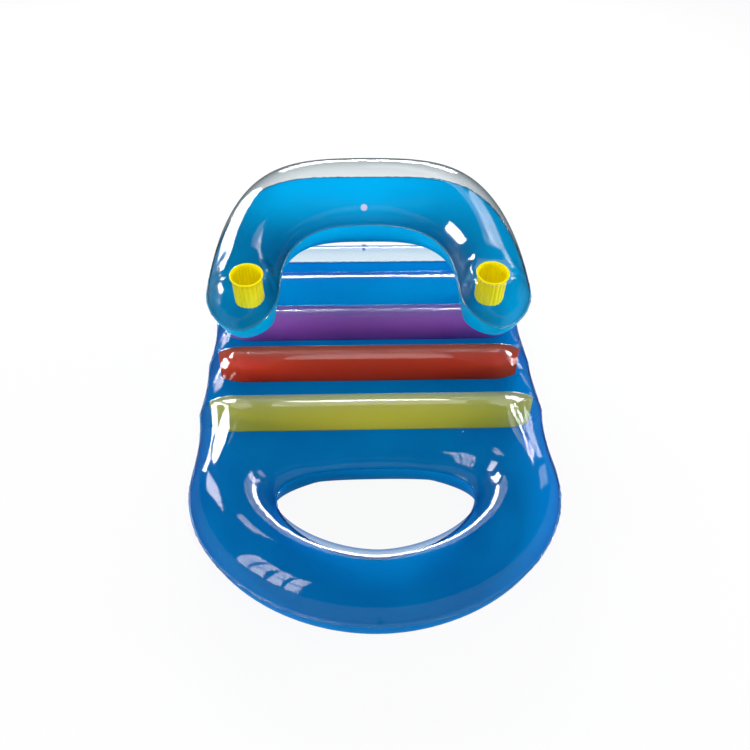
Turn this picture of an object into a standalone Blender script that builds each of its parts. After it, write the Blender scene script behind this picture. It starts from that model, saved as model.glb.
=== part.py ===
"""Inflatable pool chair: a ring for the legs, a seat of cross tubes and a horseshoe backrest with two cups.

Metres, +Z up. The leg hole is towards -Y, the backrest towards +Y, and X runs across the seat. The origin
is on the floor under the middle of the chair.
"""

import math

import bmesh
import bpy
import numpy as np
from mathutils import Matrix

# Sheets and welds
sheet_wall = 0.0003
weld_gap = 0.0003
seam_flange = 0.005
merge_distance = 0.00001

# Base, front to back: the ring's front tube, the leg hole, the tube behind it, then the cross tubes
front_tube = 0.182
leg_hole_length = 0.2975
knee_tube = 0.2205
first_cross_tube = 0.224
second_cross_tube = 0.213
third_cross_tube = 0.198
head_tube = 0.179

# Base, across and up
seat_width = 0.988
ring_inset = 0.010
leg_hole_width = 0.522
ring_waist = 0.005
side_scallop = 0.006
head_corner = 0.120
head_swell = 0.014
tube_end_radius = 0.100
tube_height = 0.204
baffle_height = 0.144
floor_flat = 0.003
ring_roundness = 1.965
leg_hole_front_roundness = 1.75
leg_hole_rear_roundness = 2.6
ring_widest_share = 0.62
leg_hole_widest_share = 0.644
leg_hole_belly = 2.5

# Backrest and arms, measured in their own tilted plane
backrest_tilt = math.radians(11.0)
arm_tip_reach = 0.1775
arm_tip_height = 0.2877
backrest_inset = 0.008
arm_width = 0.211
arm_tip_length = 0.150
arm_tip_roundness = 1.75
backrest_length = 0.704
seat_opening_length = 0.456
arm_tube_height = 0.216
back_tube_height = 0.292
outer_corner_roundness = (4.4, 2.1)
inner_corner_roundness = (2.65, 2.65)
cup_across_share = 0.60

# Cups
cup_setback = 0.127
cup_radius = 0.0435
cup_wall = 0.0008
cup_depth = 0.095
cup_mouth_height = 0.098
cup_rim_width = 0.0055
cup_rim_thickness = 0.0012
cup_hem = 0.005
cup_flat_radius = 0.056
cup_blend_radius = 0.105

# Welded patches that hold the arms down on the second cross tube
patch_radius = 0.035
patch_thickness = 0.0005
patch_flat_radius = 0.065
patch_blend_radius = 0.190

# Push-in valves
head_valve_offset = -0.006
backrest_valve_offset = -0.010
backrest_valve_share = 0.27
valve_flange_radius = 0.0110
valve_flange_thickness = 0.0012
stem_radius = 0.0055
stem_bore = 0.0035
stem_length = 0.0190
stem_lip_radius = 0.0070
stem_lip_thickness = 0.0012
stem_foot_thickness = 0.0015
stem_clearance = 0.0003
plug_head_radius = 0.0066
plug_head_thickness = 0.0018
plug_peg_length = 0.0080
flap_radius = 0.0048
flap_thickness = 0.0006
strap_radius = 0.0006
strap_reach = 0.0035
cutter_overrun = 0.010

# Counts of facets
round_segments = 40
valve_segments = 20
cross_segments = 5
head_segments = 8
ring_segments = 9
front_stations = 16
side_stations = 6
end_stations = 4
middle_stations = 7
backrest_stations = 27
tip_stations = 8
backrest_rows = 9
fine_points = 400

# Places worked out from the sizes above
weld_lines = np.cumsum([front_tube, leg_hole_length, knee_tube, first_cross_tube, second_cross_tube,
                        third_cross_tube, head_tube])
hole_front, hole_rear, yellow_line, red_line, purple_line, blue_line, head_seam = weld_lines
ring_width = seat_width - 2 * ring_inset
backrest_width = seat_width - 2 * backrest_inset
arm_gap = backrest_width - 2 * arm_width
patch_setback = (red_line + purple_line) / 2
arm_tip_setback = patch_setback - arm_tip_reach
backrest_rear = arm_tip_setback + backrest_length * math.cos(backrest_tilt)
front_seam_y = -max(head_seam, backrest_rear) / 2
seam_height = tube_height / 2 - floor_flat
seam_offset = weld_gap / 2 + sheet_wall
base_rise = tube_height / 2 - seam_offset
crease_share = (baffle_height / 2 - seam_offset) / base_rise
crease_angle = math.asin(crease_share)
ring_widest = ring_widest_share * yellow_line
hole_widest = hole_front + leg_hole_widest_share * leg_hole_length


def clear_scene():
    for scene_object in list(bpy.data.objects):
        bpy.data.objects.remove(scene_object, do_unlink=True)


def make_collection(name):
    collection = bpy.data.collections.new(name)
    bpy.context.scene.collection.children.link(collection)
    return collection


def make_material(name, colour, roughness, alpha=1.0):
    """A plain Principled material in sRGB-like linear colour, see-through where the sheet is clear."""
    material = bpy.data.materials.new(name)
    material.use_nodes = True
    shader = material.node_tree.nodes["Principled BSDF"]
    shader.inputs["Base Color"].default_value = (*colour, 1.0)
    shader.inputs["Roughness"].default_value = roughness
    shader.inputs["Metallic"].default_value = 0.0
    shader.inputs["Alpha"].default_value = alpha
    material.diffuse_color = (*colour, alpha)
    return material


def place(name, mesh, collection, material, parent=None):
    new_object = bpy.data.objects.new(name, mesh)
    collection.objects.link(new_object)
    if material:
        mesh.materials.append(material)
    new_object.parent = parent
    return new_object


def make_empty(name, collection, matrix, parent=None):
    """A frame that pieces hang from; its matrix is given in the parent's coordinates."""
    empty = bpy.data.objects.new(name, None)
    collection.objects.link(empty)
    empty.parent = parent
    empty.matrix_basis = matrix
    empty.empty_display_size = tube_height / 2
    return empty


def smooth_step(value):
    value = np.clip(value, 0.0, 1.0)
    return value * value * (3 - 2 * value)


def superellipse_quarter(width, length, roundness, count):
    """Points from (width, 0) to (0, length) on |x/w|^n + |y/l|^m = 1, evenly spaced along the curve."""
    angle = np.linspace(0.0, math.pi / 2, fine_points)
    x = width * np.abs(np.cos(angle)) ** (2 / roundness[0])
    y = length * np.abs(np.sin(angle)) ** (2 / roundness[1])
    x[-1] = 0.0
    return resample(np.column_stack([x, y]), count)


def resample(points, count):
    """The same polyline with count + 1 points, evenly spaced along it."""
    steps = np.hypot(*np.diff(points, axis=0).T)
    run = np.concatenate([[0.0], np.cumsum(steps)])
    wanted = np.linspace(0.0, run[-1], count + 1)
    return np.column_stack([np.interp(wanted, run, points[:, 0]), np.interp(wanted, run, points[:, 1])])


def cross_stations():
    """Shares across a cross tube, with the rise of its rounded ends: (part, cosine, sine) for each station.

    In the middle the part runs from -1 to 1 over the straight stretch, and at the ends the cosine moves the
    station out over the end radius while the sine lowers it to the seam.
    """
    middle = np.linspace(-1.0, 1.0, middle_stations + 1)
    turn = np.linspace(math.pi / 2, 0.0, end_stations + 1)[1:]
    part = np.concatenate([np.full(end_stations, -1.0), middle, np.full(end_stations, 1.0)])
    reach = np.concatenate([-np.cos(turn)[::-1], np.zeros(middle_stations + 1), np.cos(turn)])
    rise = np.concatenate([np.sin(turn)[::-1], np.ones(middle_stations + 1), np.sin(turn)])
    rise[[0, -1]] = 0.0
    return part, reach, rise


def across(half_width):
    part, reach, rise = cross_stations()
    return part * (half_width - tube_end_radius) + reach * tube_end_radius, rise


def cross_tube(front, rear):
    """Grid of x, y, rise for a tube between two weld lines: an arc that meets the baffles at both edges."""
    angles = np.linspace(crease_angle, math.pi - crease_angle, cross_segments + 1)
    rows = []
    for angle in angles:
        share = (1 - math.cos(angle) / math.cos(crease_angle)) / 2
        half_width = seat_width / 2 - side_scallop * math.sin(math.pi * share)
        x, rise = across(half_width)
        y = np.full_like(x, front + (rear - front) * share)
        rows.append(np.column_stack([x, y, base_rise * rise * math.sin(angle)]))
    return np.array(rows)


def head_tube_grid(swell=0.0):
    """The rearmost tube: from the last weld line over to the seam at the rear, with rounded corners.

    It stands a little fuller than the cross tubes, by the swell at the middle of its arc.
    """
    angles = np.linspace(crease_angle, math.pi, head_segments + 1)
    rows = []
    for angle in angles:
        share = (math.cos(crease_angle) - math.cos(angle)) / (math.cos(crease_angle) + 1)
        half_width = seat_width / 2 - head_corner * (1 - math.sqrt(max(0.0, 1 - share * share)))
        x, rise = across(half_width)
        y = np.full_like(x, blue_line + head_tube * share)
        bulge = math.sin(math.pi * (angle - crease_angle) / (math.pi - crease_angle))
        height = rise * (base_rise * math.sin(angle) + swell * bulge if angle < math.pi else 0.0)
        rows.append(np.column_stack([x, y, height]))
    return np.array(rows)


def ring_side(count):
    """Half the outline from the first weld line's corner to the ring's widest point, with a slight waist."""
    share = np.linspace(1.0, 0.0, count + 1)
    flare = (seat_width - ring_width) / 2
    x = ring_width / 2 + flare * share**4 - ring_waist * np.sin(math.pi * share)
    return np.column_stack([x, ring_widest + (yellow_line - ring_widest) * share])


def leg_hole_radius(angle):
    """Distance from the hole's middle to its seam, flatter behind than in front."""
    behind = np.sin(angle) > 0
    length = np.where(behind, hole_rear - hole_widest, hole_widest - hole_front)
    power = np.where(behind, leg_hole_rear_roundness, leg_hole_front_roundness)
    wide = np.abs(np.cos(angle)) / (leg_hole_width / 2)
    deep = np.abs(np.sin(angle)) / length
    return (wide**power + deep**power) ** (-1 / power)


def ring_grid(belly=2.0):
    """The ring round the leg hole: rows run from the outer seam, or the first weld line, in to the hole.

    The belly is the roundness of the half that faces the hole; 2 is a plain arch.
    """
    side = ring_side(side_stations)
    front = superellipse_quarter(ring_width / 2, ring_widest, (ring_roundness, ring_roundness), front_stations)
    front[:, 1] = ring_widest - front[:, 1]
    right = np.vstack([side, front[1:]])
    left = right[::-1] * (-1, 1)
    x, rise = across(seat_width / 2)
    line = np.column_stack([x, np.full_like(x, yellow_line)])
    outer = np.vstack([right, left[1:], line[1:]])
    lift = np.concatenate([np.zeros(len(right) + len(left) - 1), rise[1:]])
    angle = np.arctan2(outer[:, 1] - hole_widest, outer[:, 0])
    radius = leg_hole_radius(angle)
    inner = np.column_stack([radius * np.cos(angle), hole_widest + radius * np.sin(angle)])
    first = np.sqrt(1 - (crease_share * lift) ** 2)
    rows = []
    for share in (1 - np.cos(np.linspace(0.0, math.pi, ring_segments + 1))) / 2:
        plan = outer * (1 - share) + inner * share
        span = first - share * (first + 1)
        power = np.where(span < 0, belly, 2.0)
        height = base_rise * np.maximum(0.0, 1 - np.abs(span) ** power) ** (1 / power)
        rows.append(np.column_stack([plan, height]))
    return np.array(rows)


def add_grid(target, grid):
    """Add a grid of points as quads."""
    verts = [[target.verts.new(point) for point in row] for row in grid]
    for low, high in zip(verts, verts[1:]):
        for k in range(len(low) - 1):
            target.faces.new((low[k], low[k + 1], high[k + 1], high[k]))


def add_flange(target, width):
    """Widen every open edge outwards in the seam's plane, as the welded margin of the sheet."""
    edges = [edge for edge in target.edges if edge.is_boundary]
    outward = {}
    for edge in edges:
        away = (edge.verts[0].co + edge.verts[1].co) / 2 - edge.link_faces[0].calc_center_median()
        along = edge.verts[1].co - edge.verts[0].co
        side = along.cross((0, 0, 1)).normalized()
        side *= 1 if side.dot(away) > 0 else -1
        for vert in edge.verts:
            outward.setdefault(vert, []).append(side)
    result = bmesh.ops.extrude_edge_only(target, edges=edges)["geom"]
    moved = {item for item in result if isinstance(item, bmesh.types.BMVert)}
    for vert in moved:
        linked = [edge.other_vert(vert) for edge in vert.link_edges]
        source = next(other for other in linked if other not in moved)
        first, second = outward[source]
        vert.co += (first + second) * width / (1 + first.dot(second))


def sheet_object(name, target, facing, collection, material, parent=None):
    """Turn an open surface into a sheet: weld its doubles, add the flange and give it its wall inwards."""
    bmesh.ops.remove_doubles(target, verts=target.verts, dist=merge_distance)
    add_flange(target, seam_flange)
    bmesh.ops.recalc_face_normals(target, faces=target.faces)
    if sum(face.normal.z * face.calc_area() for face in target.faces) * facing < 0:
        bmesh.ops.reverse_faces(target, faces=target.faces)
    mesh = bpy.data.meshes.new(name)
    target.to_mesh(mesh)
    target.free()
    sheet = place(name, mesh, collection, material, parent)
    wall = sheet.modifiers.new("wall", "SOLIDIFY")
    wall.thickness = sheet_wall
    wall.offset = -1.0
    return sheet


def base_sheet(name, facing, collection, material):
    """Upper (facing 1) or lower (facing -1) sheet of the base; the lower one lies flat on the floor."""
    target = bmesh.new()
    lines = (yellow_line, red_line, purple_line, blue_line)
    grids = [ring_grid() if facing > 0 else ring_grid(leg_hole_belly)]
    grids += [head_tube_grid(head_swell if facing > 0 else 0.0)]
    grids += [cross_tube(front, rear) for front, rear in zip(lines, lines[1:])]
    for grid in grids:
        grid = grid.copy()
        grid[..., 1] += front_seam_y
        grid[..., 2] = seam_height + facing * (seam_offset + grid[..., 2])
        grid[..., 2] = np.maximum(grid[..., 2], 0.0)
        add_grid(target, grid)
    return sheet_object(name, target, facing, collection, material)


def baffle(name, line, collection, material):
    """Upright web inside the base; its edges follow the two weld creases and stop short of the sides."""
    x, rise = across(seat_width / 2)
    keep = slice(end_stations // 2, len(x) - end_stations // 2)
    x, rise = x[keep], rise[keep]
    half = seam_offset + base_rise * crease_share * rise - sheet_wall - weld_gap
    target = bmesh.new()
    level = np.full_like(x, front_seam_y + line)
    add_grid(target, [np.column_stack([x, level, seam_height - half]),
                      np.column_stack([x, level, seam_height + half])])
    mesh = bpy.data.meshes.new(name)
    target.to_mesh(mesh)
    target.free()
    web = place(name, mesh, collection, material)
    wall = web.modifiers.new("wall", "SOLIDIFY")
    wall.thickness = sheet_wall
    wall.offset = 0.0
    return web


def backrest_outline():
    """Outer and inner edges of the horseshoe, right to left, with the crest line between them."""
    def half_round(width, length, roundness):
        quarter = superellipse_quarter(width, length, roundness, fine_points)
        whole = np.vstack([quarter, quarter[-2::-1] * (-1, 1)])
        whole[:, 1] += arm_tip_length
        return resample(whole, backrest_stations)

    outer = half_round(backrest_width / 2, backrest_length - arm_tip_length, outer_corner_roundness)
    inner = half_round(arm_gap / 2, seat_opening_length - arm_tip_length, inner_corner_roundness)
    bend = np.sin(np.linspace(0.0, math.pi, backrest_stations + 1))[:, None] ** 2
    share = cup_across_share + (0.5 - cup_across_share) * bend
    return outer, inner, outer * (1 - share) + inner * share, bend[:, 0]


def backrest_loop():
    """Outline, crest point and half height for each station once round the horseshoe, tips included."""
    outer, inner, crest, bend = backrest_outline()
    rise = (arm_tube_height + (back_tube_height - arm_tube_height) * bend) / 2 - seam_offset
    turn = np.linspace(0.0, math.pi, tip_stations + 1)[1:-1]
    middle = (outer[-1] + inner[-1]) / 2
    reach = (outer[-1] - inner[-1])[0] / 2
    side = np.sign(np.cos(turn)) * np.abs(np.cos(turn)) ** (2 / arm_tip_roundness)
    nose = np.sin(turn) ** (2 / arm_tip_roundness)
    left_tip = np.column_stack([middle[0] + reach * side, middle[1] - arm_tip_length * nose])
    right_tip = left_tip[::-1] * (-1, 1)
    outline = np.vstack([outer, left_tip, inner[::-1], right_tip])
    end = np.ones((len(turn), 1))
    crest_loop = np.vstack([crest, end * crest[-1], crest[::-1], end * crest[0]])
    rise_loop = np.concatenate([rise, end[:, 0] * rise[-1], rise[::-1], end[:, 0] * rise[0]])
    return outline, crest_loop, rise_loop


def backrest_ring(turn):
    """One line of points round the horseshoe at a turn from the seam (0) towards the crest (90 degrees)."""
    outline, crest, rise = backrest_loop()
    plan = crest + (outline - crest) * math.cos(turn)
    return np.column_stack([plan, rise * math.sin(turn)])


def settle_to_cups(points, facing):
    """Draw the upper sheet to the height of the cup mouths, or the lower one down to the weld patches."""
    if facing > 0:
        centre = np.abs([cup_x, cup_q])
        level = cup_mouth_height - seam_offset
        near, far = cup_flat_radius, cup_blend_radius
    else:
        centre = np.array([patch_x, patch_q])
        level = -(patch_level - arm_tip_height - points[:, 1] * math.sin(backrest_tilt))
        level = level / math.cos(backrest_tilt) - seam_offset
        near, far = patch_flat_radius, patch_blend_radius
    distance = np.hypot(np.abs(points[:, 0]) - centre[0], points[:, 1] - centre[1])
    share = 1 - smooth_step((distance - near) / (far - near))
    points[:, 2] += (level - points[:, 2]) * share
    return points


def backrest_sheet(name, facing, collection, material, parent):
    """Upper or lower sheet of the horseshoe: rings climb from the seam, and a strip closes the crest."""
    turns = np.arange(backrest_rows // 2 + 1) * math.pi / backrest_rows
    rings = [backrest_ring(turn) for turn in turns]
    for ring in rings[-3 if facing > 0 else -2:]:
        settle_to_cups(ring, facing)
    target = bmesh.new()
    verts = []
    for ring in rings:
        ring[:, 2] = facing * (seam_offset + ring[:, 2])
        verts.append([target.verts.new(point) for point in ring])
    count = len(verts[0])
    for low, high in zip(verts, verts[1:]):
        for k in range(count):
            following = (k + 1) % count
            target.faces.new((low[k], low[following], high[following], high[k]))
    top = verts[-1]
    inner_start = backrest_stations + tip_stations
    for k in range(backrest_stations):
        opposite = inner_start + backrest_stations - k
        target.faces.new((top[k], top[k + 1], top[opposite - 1], top[opposite]))
    target.faces.new(top[backrest_stations:inner_start + 1])
    target.faces.new(top[inner_start + backrest_stations:] + [top[0]])
    return sheet_object(name, target, facing, collection, material, parent)


def turned(name, profile, segments, collection, material, parent, matrix=None):
    """A body turned about the local Z axis from a closed profile of (radius, height) points."""
    mesh = bpy.data.meshes.new(name)
    count = len(profile)
    mesh.from_pydata([(radius, 0.0, height) for radius, height in profile],
                     [(k, (k + 1) % count) for k in range(count)], [])
    body = place(name, mesh, collection, material, parent)
    screw = body.modifiers.new("turn", "SCREW")
    screw.steps = screw.render_steps = segments
    screw.use_merge_vertices = True
    screw.merge_threshold = merge_distance
    screw.use_smooth_shade = False
    if matrix:
        body.matrix_basis = matrix
    return body


def disc(name, radius, bottom, top, segments, collection, material, parent, matrix=None):
    """A solid round plate between two heights."""
    mesh = bpy.data.meshes.new(name)
    target = bmesh.new()
    bmesh.ops.create_cone(target, cap_ends=True, segments=segments, radius1=radius, radius2=radius,
                          depth=top - bottom, matrix=Matrix.Translation((0, 0, (top + bottom) / 2)))
    target.to_mesh(mesh)
    target.free()
    plate = place(name, mesh, collection, material, parent)
    if matrix:
        plate.matrix_basis = matrix
    return plate


def cut_round(sheet, name, radius, segments, cutters, parent, matrix):
    """Punch a round hole through a sheet along the frame's Z axis."""
    cutter = disc(name, radius, -cutter_overrun, cutter_overrun, segments, cutters, None, parent, matrix)
    cutter.hide_render = True
    cutter.display_type = "WIRE"
    hole = sheet.modifiers.new(name, "BOOLEAN")
    hole.operation = "DIFFERENCE"
    hole.solver = "EXACT"
    hole.object = cutter


def cup(side, sign, sheet, frame, parts, cutters):
    """Sleeve, floor and welded rim of one cup, standing square to the backrest's plane."""
    mouth = Matrix.Translation((sign * cup_x, cup_q, cup_mouth_height))
    seat = make_empty(f"cup_frame_{side}", parts, mouth, frame)
    outer = cup_radius + cup_wall
    top = -cup_rim_thickness - weld_gap
    bottom = -cup_depth
    turned(f"cup_rim_{side}",
           [(cup_radius + cup_rim_width, 0), (cup_radius + cup_rim_width, -cup_rim_thickness),
            (cup_radius, -cup_rim_thickness), (cup_radius, 0)],
           round_segments, parts, clear_film, seat)
    turned(f"cup_sleeve_{side}",
           [(outer, top), (outer, bottom), (cup_radius - cup_hem, bottom),
            (cup_radius - cup_hem, bottom + cup_wall), (cup_radius, bottom + cup_wall), (cup_radius, top)],
           round_segments, parts, yellow_vinyl, seat)
    floor_bottom = bottom + cup_wall + weld_gap
    disc(f"cup_floor_{side}", cup_radius - weld_gap, floor_bottom, floor_bottom + cup_wall,
         round_segments, parts, yellow_vinyl, seat)
    cut_round(sheet, f"cup_hole_{side}", cup_radius + cup_rim_width + weld_gap, round_segments, cutters,
              seat, Matrix())


def valve(prefix, sheet, matrix, parent, parts, cutters):
    """Push-in valve: flange on the sheet, sliding stem with its plug and strap, and a check flap inside.

    The frame's Z axis points out of the sheet, whose outer face is at zero. The stem is stored pushed in.
    """
    frame = make_empty(f"{prefix}_valve_frame", parts, matrix, parent)
    flange_top = weld_gap + valve_flange_thickness
    opening = stem_radius + stem_clearance
    turned(f"{prefix}_valve_flange",
           [(valve_flange_radius, flange_top), (valve_flange_radius, weld_gap), (opening, weld_gap),
            (opening, flange_top)],
           valve_segments, parts, valve_vinyl, frame)
    lip_bottom = flange_top + weld_gap
    lip_top = lip_bottom + stem_lip_thickness
    foot = lip_top - stem_length
    turned(f"{prefix}_valve_stem",
           [(stem_lip_radius, lip_top), (stem_lip_radius, lip_bottom), (stem_radius, lip_bottom),
            (stem_radius, foot + stem_foot_thickness), (stem_lip_radius, foot + stem_foot_thickness),
            (stem_lip_radius, foot), (stem_bore, foot), (stem_bore, lip_top)],
           valve_segments, parts, valve_vinyl, frame)
    head_bottom = lip_top + weld_gap
    head_top = head_bottom + plug_head_thickness
    peg_bottom = head_bottom - plug_peg_length
    peg_radius = stem_bore - stem_clearance
    plug = turned(f"{prefix}_valve_plug",
                  [(0, head_top), (plug_head_radius, head_top), (plug_head_radius, head_bottom),
                   (peg_radius, head_bottom), (peg_radius, peg_bottom), (0, peg_bottom)],
                  valve_segments, parts, valve_vinyl, frame)
    open_profile(plug)
    flap_top = foot - weld_gap
    flap_frame = make_empty(f"{prefix}_flap_frame", parts, Matrix.Translation((0, flap_radius, flap_top)), frame)
    disc(f"{prefix}_valve_flap", flap_radius, -flap_thickness, 0.0, valve_segments, parts, valve_vinyl,
         flap_frame, Matrix.Translation((0, -flap_radius, 0)))
    strap(f"{prefix}_valve_strap", (lip_bottom + lip_top) / 2, (head_bottom + head_top) / 2, frame, parts)
    cut_round(sheet, f"{prefix}_valve_hole", opening, valve_segments, cutters, frame, Matrix())


def open_profile(body):
    """Drop the profile edge that lies on the axis, so that the turned plug has no inner wall."""
    shape = bmesh.new()
    shape.from_mesh(body.data)
    on_axis = [edge for edge in shape.edges if all(vert.co.x == 0 for vert in edge.verts)]
    bmesh.ops.delete(shape, geom=on_axis, context="EDGES_FACES")
    shape.to_mesh(body.data)
    shape.free()


def strap(name, low, high, frame, parts):
    """Thin cord of vinyl that keeps the plug on the stem: a loop beside the two lips."""
    start = stem_lip_radius + weld_gap
    end = plug_head_radius + weld_gap
    curve = bpy.data.curves.new(name, "CURVE")
    curve.dimensions = "3D"
    curve.bevel_depth = strap_radius
    curve.bevel_resolution = 1
    curve.use_fill_caps = True
    curve.render_resolution_u = 0
    line = curve.splines.new("POLY")
    turn = np.linspace(-math.pi / 2, math.pi / 2, valve_segments // 2 + 1)
    middle, half = (low + high) / 2, (high - low) / 2
    bow = [(start + strap_reach * (0.5 + 0.5 * math.cos(t)), middle + half * math.sin(t)) for t in turn]
    points = [(start, low), *bow, (end, high)]
    line.points.add(len(points) - 1)
    for point, (x, z) in zip(line.points, points):
        point.co = (x, 0.0, z, 1.0)
    return place(name, curve, parts, valve_vinyl, frame)


def facet_frame(offset, first, second, share):
    """Frame on a facet that runs from first to second in the YZ plane, at a share of it, with Z outwards."""
    (y_a, z_a), (y_b, z_b) = first, second
    lean = math.atan2(z_b - z_a, y_b - y_a)
    place = Matrix.Translation((offset, y_a + (y_b - y_a) * share, z_a + (z_b - z_a) * share))
    return place @ Matrix.Rotation(lean, 4, "X")


def backrest_valve_frame():
    """Low on the facet of the back tube's front wall, second up from the inner seam."""
    outer, inner, crest, _ = backrest_outline()
    middle = backrest_stations // 2
    _, _, rise = backrest_loop()
    edge, ridge = inner[middle][1], crest[middle][1]
    points = []
    for step in (1, 2):
        turn = step * math.pi / backrest_rows
        points.append((ridge + (edge - ridge) * math.cos(turn), seam_offset + rise[middle] * math.sin(turn)))
    return facet_frame(backrest_valve_offset, *points, backrest_valve_share)


def head_valve_frame():
    """Just behind the crest of the rearmost tube, on the middle of a facet."""
    grid = head_tube_grid(head_swell)
    middle = grid.shape[1] // 2
    points = [(grid[row][middle][1] + front_seam_y, seam_height + seam_offset + grid[row][middle][2])
              for row in (head_segments // 2, head_segments // 2 + 1)]
    return facet_frame(head_valve_offset, *points, 0.5)


# Places on the arms
_, _, crest_line, _ = backrest_outline()
cup_x, cup_q = abs(crest_line[0][0]), cup_setback
patch_stack = 2 * weld_gap + patch_thickness
second_tube_top = seam_height + seam_offset + cross_tube(red_line, purple_line)[..., 2].max()
patch_level = second_tube_top + patch_stack
drop = arm_tip_height - patch_level
patch_q = arm_tip_reach * math.cos(backrest_tilt) - drop * math.sin(backrest_tilt)
patch_x = float(np.interp(patch_q, crest_line[:5, 1], np.abs(crest_line[:5, 0])))

clear_scene()
chair = make_collection("inflatable_pool_chair")
tools = make_collection("cutters")

clear_film = make_material("clear_film", (0.75, 0.86, 0.93), 0.08, 0.35)
blue_vinyl = make_material("blue_vinyl", (0.005, 0.30, 0.72), 0.25)
yellow_film = make_material("yellow_film", (0.72, 0.66, 0.05), 0.25)
red_film = make_material("red_film", (0.60, 0.09, 0.03), 0.25)
purple_film = make_material("purple_film", (0.22, 0.05, 0.30), 0.25)
blue_film = make_material("blue_film", (0.004, 0.18, 0.50), 0.25)
yellow_vinyl = make_material("yellow_vinyl", (0.90, 0.78, 0.0), 0.30)
valve_vinyl = make_material("valve_vinyl", (0.70, 0.72, 0.82), 0.35)

base_top = base_sheet("base_top_film", 1, chair, clear_film)
base_sheet("base_bottom_sheet", -1, chair, blue_vinyl)
baffle("baffle_yellow", yellow_line, chair, yellow_film)
baffle("baffle_red", red_line, chair, red_film)
baffle("baffle_purple", purple_line, chair, purple_film)
baffle("baffle_blue", blue_line, chair, blue_film)

arm_tips = Matrix.Translation((0.0, front_seam_y + arm_tip_setback, arm_tip_height))
backrest_plane = make_empty("backrest_frame", chair, arm_tips @ Matrix.Rotation(backrest_tilt, 4, "X"))
backrest_top = backrest_sheet("backrest_top_film", 1, chair, clear_film, backrest_plane)
backrest_sheet("backrest_bottom_sheet", -1, chair, blue_vinyl, backrest_plane)

for side_name, side_sign in (("left", -1), ("right", 1)):
    cup(side_name, side_sign, backrest_top, backrest_plane, chair, tools)
    disc(f"arm_patch_{side_name}", patch_radius, second_tube_top + weld_gap, patch_level - weld_gap,
         round_segments, chair, blue_vinyl, None,
         Matrix.Translation((side_sign * patch_x, front_seam_y + patch_setback, 0.0)))

valve("backrest", backrest_top, backrest_valve_frame(), backrest_plane, chair, tools)
valve("base", base_top, head_valve_frame(), None, chair, tools)
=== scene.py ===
"""Looks of the inflatable pool chair.

Clear upper films lie over blue sheets, with coloured baffles between them and yellow cups on the
arms. Lengths are metres in the part's own frame: X across the seat, +Y to the backrest, Z up.
"""

import math

import bmesh
import bpy
import numpy as np
from mathutils import Matrix, Vector


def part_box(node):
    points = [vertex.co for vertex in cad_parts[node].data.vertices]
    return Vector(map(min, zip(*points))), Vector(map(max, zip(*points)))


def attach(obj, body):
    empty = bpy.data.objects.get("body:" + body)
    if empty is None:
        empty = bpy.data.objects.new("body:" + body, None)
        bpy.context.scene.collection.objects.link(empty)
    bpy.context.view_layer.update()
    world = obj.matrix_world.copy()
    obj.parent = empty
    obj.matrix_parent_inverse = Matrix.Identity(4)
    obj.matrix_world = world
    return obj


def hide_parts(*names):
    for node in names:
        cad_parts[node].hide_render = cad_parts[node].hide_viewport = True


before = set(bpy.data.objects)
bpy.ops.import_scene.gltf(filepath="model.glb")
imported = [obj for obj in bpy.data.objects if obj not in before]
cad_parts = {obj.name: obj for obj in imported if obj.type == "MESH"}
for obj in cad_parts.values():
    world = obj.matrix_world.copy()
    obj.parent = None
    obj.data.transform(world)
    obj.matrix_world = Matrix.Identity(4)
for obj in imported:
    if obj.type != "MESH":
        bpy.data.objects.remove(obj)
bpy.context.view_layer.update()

# Sizes shared with the part
SHEET_WALL = 0.0003
WELD_GAP = 0.0003
SEAM_FLANGE = 0.005
WELD_LINES = np.cumsum([0.182, 0.2975, 0.2205, 0.224, 0.213, 0.198, 0.179])
HOLE_FRONT, HOLE_REAR, YELLOW_LINE, RED_LINE, PURPLE_LINE, BLUE_LINE, HEAD_SEAM = WELD_LINES
CREASE_LINES = (YELLOW_LINE, RED_LINE, PURPLE_LINE, BLUE_LINE)
SEAT_WIDTH = 0.988
RING_INSET = 0.010
RING_WIDTH = SEAT_WIDTH - 2 * RING_INSET
LEG_HOLE_WIDTH = 0.522
RING_WAIST = 0.005
SIDE_SCALLOP = 0.006
HEAD_CORNER = 0.120
HEAD_SWELL = 0.014
TUBE_END = 0.100
TUBE_HEIGHT = 0.204
BAFFLE_HEIGHT = 0.144
FLOOR_FLAT = 0.003
RING_ROUNDNESS = 1.965
HOLE_ROUNDNESS = (1.75, 2.6)
RING_WIDEST_SHARE = 0.62
RING_WIDEST = RING_WIDEST_SHARE * YELLOW_LINE
HOLE_WIDEST_SHARE = 0.644
HOLE_WIDEST = HOLE_FRONT + HOLE_WIDEST_SHARE * (HOLE_REAR - HOLE_FRONT)
LEG_HOLE_BELLY = 2.5
BACKREST_TILT = math.radians(11.0)
PATCH_SETBACK = (RED_LINE + PURPLE_LINE) / 2
ARM_REACH = 0.1775
ARM_TIP_SETBACK = PATCH_SETBACK - ARM_REACH
ARM_TIP_HEIGHT = 0.2877
BACKREST_INSET = 0.008
BACKREST_WIDTH = SEAT_WIDTH - 2 * BACKREST_INSET
ARM_WIDTH = 0.211
ARM_GAP = BACKREST_WIDTH - 2 * ARM_WIDTH
ARM_TIP_LENGTH = 0.150
ARM_TIP_ROUNDNESS = 1.75
BACKREST_LENGTH = 0.704
SEAT_OPENING = 0.456
ARM_TUBE = 0.216
BACK_TUBE = 0.292
OUTER_ROUNDNESS = (4.4, 2.1)
INNER_ROUNDNESS = (2.65, 2.65)
CUP_SHARE = 0.60
CUP_SETBACK = 0.127
CUP_RADIUS = 0.0435
CUP_DEPTH = 0.095
CUP_MOUTH = 0.098
CUP_RIM = 0.0055
CUP_FLAT, CUP_BLEND = 0.056, 0.105

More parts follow.
